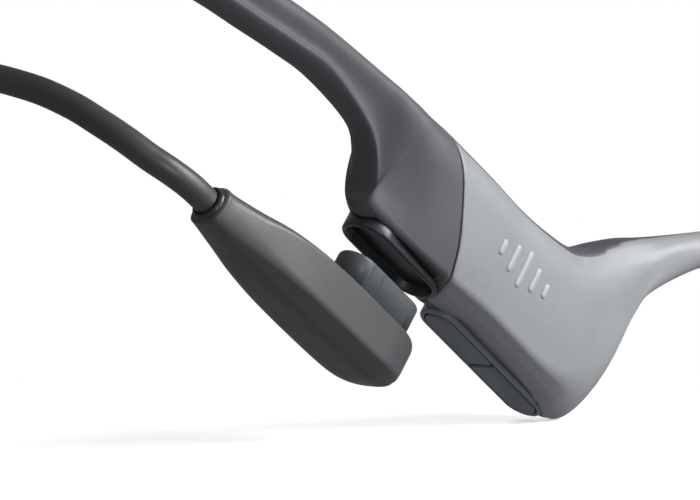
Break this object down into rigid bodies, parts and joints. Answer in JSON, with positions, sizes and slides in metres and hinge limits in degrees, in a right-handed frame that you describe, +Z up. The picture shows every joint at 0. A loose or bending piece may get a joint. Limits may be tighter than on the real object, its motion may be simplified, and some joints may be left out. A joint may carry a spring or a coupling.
{
  "type": "bone conduction headphones",
  "caption": "Open-ear bone conduction headphones: wire neckband, ear hooks, rear housings with keys, cheek pods and a magnetic charging cable.",
  "frame": {"origin": "centre of the headset's footprint on the surface it stands on", "axes": "+Z up, the wearer faces -Y, +X is the wearer's left, the side with the port"},
  "size_m": [0.1356, 0.1469, 0.0474],
  "materials": {
    "band_grey": "satin soft touch",
    "board_green": "solder mask",
    "boss_grey": "satin",
    "cable_jacket": "satin",
    "cell_foil": "foil",
    "contact_gold": "gold plated",
    "copper_winding": "wound wire",
    "housing_grey": "satin",
    "inner_shell_grey": "satin",
    "key_frame_dark": "satin",
    "key_grey": "satin",
    "light_clear": "clear",
    "magnet_metal": "plated",
    "mesh_metal": "woven",
    "pad_silicone": "matt",
    "plug_dark": "fine texture",
    "pod_dark": "satin",
    "port_black": "gloss",
    "soft_touch_dark": "satin soft touch",
    "spring_wire": "drawn",
    "switch_metal": "stamped",
    "tie_black": "hook and loop",
    "usb_metal": "plated",
    "usb_white": "satin"
  },
  "bodies": {
    "headset": {"left_hook_cover": "soft_touch_dark", "left_hook_wire": "spring_wire", "left_outer_cover": "housing_grey", "left_inner_shell": "inner_shell_grey", "left_pod_cover": "pod_dark", "left_pod_frame": "inner_shell_grey", "left_skin_pad": "pad_silicone", "left_voice_coil": "copper_winding", "right_hook_cover": "soft_touch_dark", "right_hook_wire": "spring_wire", "right_outer_cover": "housing_grey", "right_inner_shell": "inner_shell_grey", "right_pod_cover": "pod_dark", "right_pod_frame": "inner_shell_grey", "right_skin_pad": "pad_silicone", "right_voice_coil": "copper_winding", "neckband_sleeve": "band_grey", "neckband_wire": "spring_wire", "main_board": "board_green", "battery_cell": "cell_foil", "charging_port_bezel": "port_black", "charging_contacts": "contact_gold", "port_magnets": "magnet_metal", "button_frame": "key_frame_dark", "button_switches": "switch_metal", "status_light": "light_clear", "multifunction_switch": "switch_metal", "microphone_mesh": "mesh_metal", "microphone_capsule": "contact_gold"},
    "plug": {"plug_shell": "plug_dark", "plug_boss": "boss_grey", "plug_magnets": "magnet_metal", "plug_collar": "port_black", "cable_run": "cable_jacket", "cable_coil": "cable_jacket", "cable_end": "cable_jacket", "cable_tie": "tie_black", "usb_overmould": "plug_dark", "usb_shell": "usb_metal", "usb_tongue": "usb_white", "usb_contacts": "contact_gold"},
    "plug_pin_a": {"plug_pin_a": "contact_gold"},
    "plug_pin_b": {"plug_pin_b": "contact_gold"},
    "volume_up": {"volume_up_button": "key_grey"},
    "volume_down": {"volume_down_button": "key_grey"},
    "multifunction": {"multifunction_button": "key_grey"},
    "left_magnet": {"left_magnet_unit": "magnet_metal", "left_leaf_spring": "spring_wire"},
    "right_magnet": {"right_magnet_unit": "magnet_metal", "right_leaf_spring": "spring_wire"}
  },
  "joints": [
    {"name": "plug_dock", "type": "slide", "parent": "headset", "child": "plug", "axis": [0, 0.6018, 0.7986], "range_m": [0, 0.0027]},
    {"name": "plug_pin_a_press", "type": "slide", "parent": "plug", "child": "plug_pin_a", "axis": [0, -0.6018, -0.7986], "range_m": [0, 0.0003], "stiffness_N_per_m": 500},
    {"name": "plug_pin_b_press", "type": "slide", "parent": "plug", "child": "plug_pin_b", "axis": [0, -0.6018, -0.7986], "range_m": [0, 0.0003], "stiffness_N_per_m": 500},
    {"name": "volume_up_press", "type": "slide", "parent": "headset", "child": "volume_up", "axis": [0, 0.6018, 0.7986], "range_m": [0, 0.0003], "stiffness_N_per_m": 800},
    {"name": "volume_down_press", "type": "slide", "parent": "headset", "child": "volume_down", "axis": [0, 0.6018, 0.7986], "range_m": [0, 0.0003], "stiffness_N_per_m": 800},
    {"name": "multifunction_press", "type": "slide", "parent": "headset", "child": "multifunction", "axis": [0.9848, 0.1736, 0], "range_m": [0, 0.0004], "stiffness_N_per_m": 800},
    {"name": "left_driver_stroke", "type": "slide", "parent": "headset", "child": "left_magnet", "axis": [0.9848, -0.1736, 0], "range_m": [-0.00015, 0.00015], "stiffness_N_per_m": 5000},
    {"name": "right_driver_stroke", "type": "slide", "parent": "headset", "child": "right_magnet", "axis": [-0.9848, -0.1736, 0], "range_m": [-0.00015, 0.00015], "stiffness_N_per_m": 5000}
  ]
}
